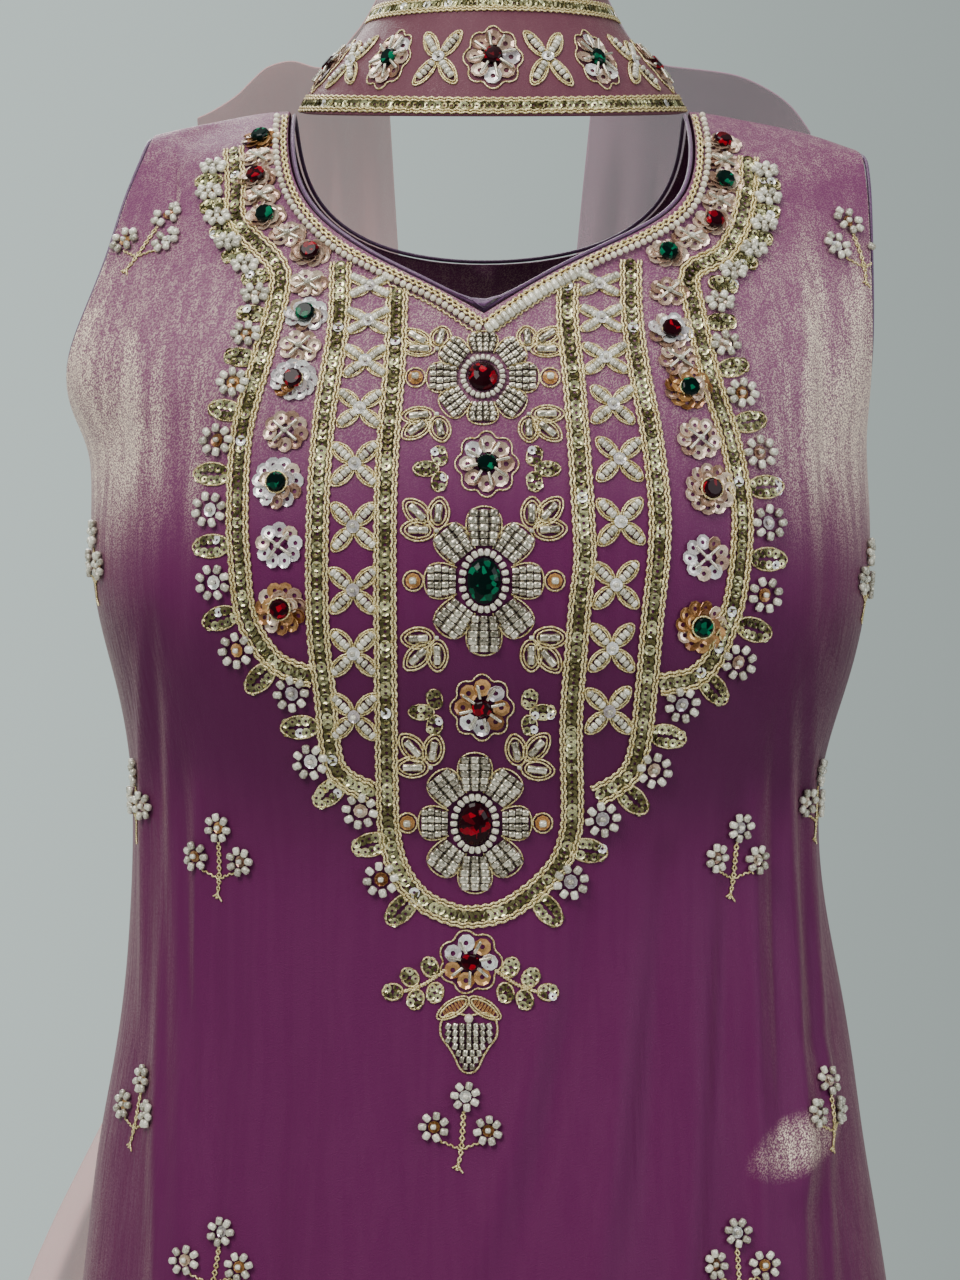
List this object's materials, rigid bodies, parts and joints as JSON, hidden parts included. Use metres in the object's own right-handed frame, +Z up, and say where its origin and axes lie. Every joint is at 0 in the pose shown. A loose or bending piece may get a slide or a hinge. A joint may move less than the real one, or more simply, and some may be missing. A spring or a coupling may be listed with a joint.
{
  "type": "salwar kameez suit",
  "caption": "Sleeveless embroidered kameez with a raised beaded yoke, a plain salwar under it and a tissue dupatta wound round the neck, in worn form.",
  "frame": {"origin": "midway between the neck points, on the line of the shoulder seams, where the wearer's shoulders hold the suit up", "axes": "+Z up, -Y out of the front of the kameez, +X to the viewer's right when looking at the front"},
  "size_m": [0.497, 0.3234, 1.3971],
  "materials": {
    "plum_tissue": "plum tissue silk with a champagne metallic weft",
    "piping": "dark plum satin piping",
    "gold_work": "couched zari cord with olive gold sequins",
    "bead_work": "silver cut tubes and seed pearls",
    "ruby_glass": "foiled faceted ruby glass",
    "emerald_glass": "foiled faceted emerald glass",
    "salwar_cotton": "plum cotton silk",
    "mauve_tissue": "sheer mauve pink tissue"
  },
  "bodies": {
    "root": {"kameez_front": "plum_tissue", "kameez_back": "plum_tissue", "neck_binding": "piping", "armhole_binding_left": "piping", "armhole_binding_right": "piping", "gold_band_outer_left": "gold_work", "gold_band_outer_right": "gold_work", "gold_band_second_left": "gold_work", "gold_band_second_right": "gold_work", "gold_band_inner": "gold_work", "centre_flower_1": "bead_work", "centre_flower_2": "bead_work", "centre_flower_3": "bead_work", "stone_01": "emerald_glass", "stone_02": "ruby_glass", "stone_03": "emerald_glass", "stone_04": "ruby_glass", "stone_05": "emerald_glass", "stone_06": "ruby_glass", "stone_07": "emerald_glass", "stone_08": "ruby_glass", "stone_09": "ruby_glass", "stone_10": "emerald_glass", "stone_11": "ruby_glass", "stone_12": "emerald_glass", "stone_13": "ruby_glass", "stone_14": "emerald_glass", "stone_15": "ruby_glass", "stone_16": "emerald_glass", "salwar_belt": "salwar_cotton", "salwar_leg_left": "salwar_cotton", "salwar_leg_right": "salwar_cotton", "salwar_cuff_left": "salwar_cotton", "salwar_cuff_right": "salwar_cotton", "dupatta_neck": "mauve_tissue", "dupatta_shoulder_left": "mauve_tissue", "dupatta_shoulder_right": "mauve_tissue", "dupatta_tail_left": "mauve_tissue", "dupatta_tail_right": "mauve_tissue"}
  },
  "joints": []
}
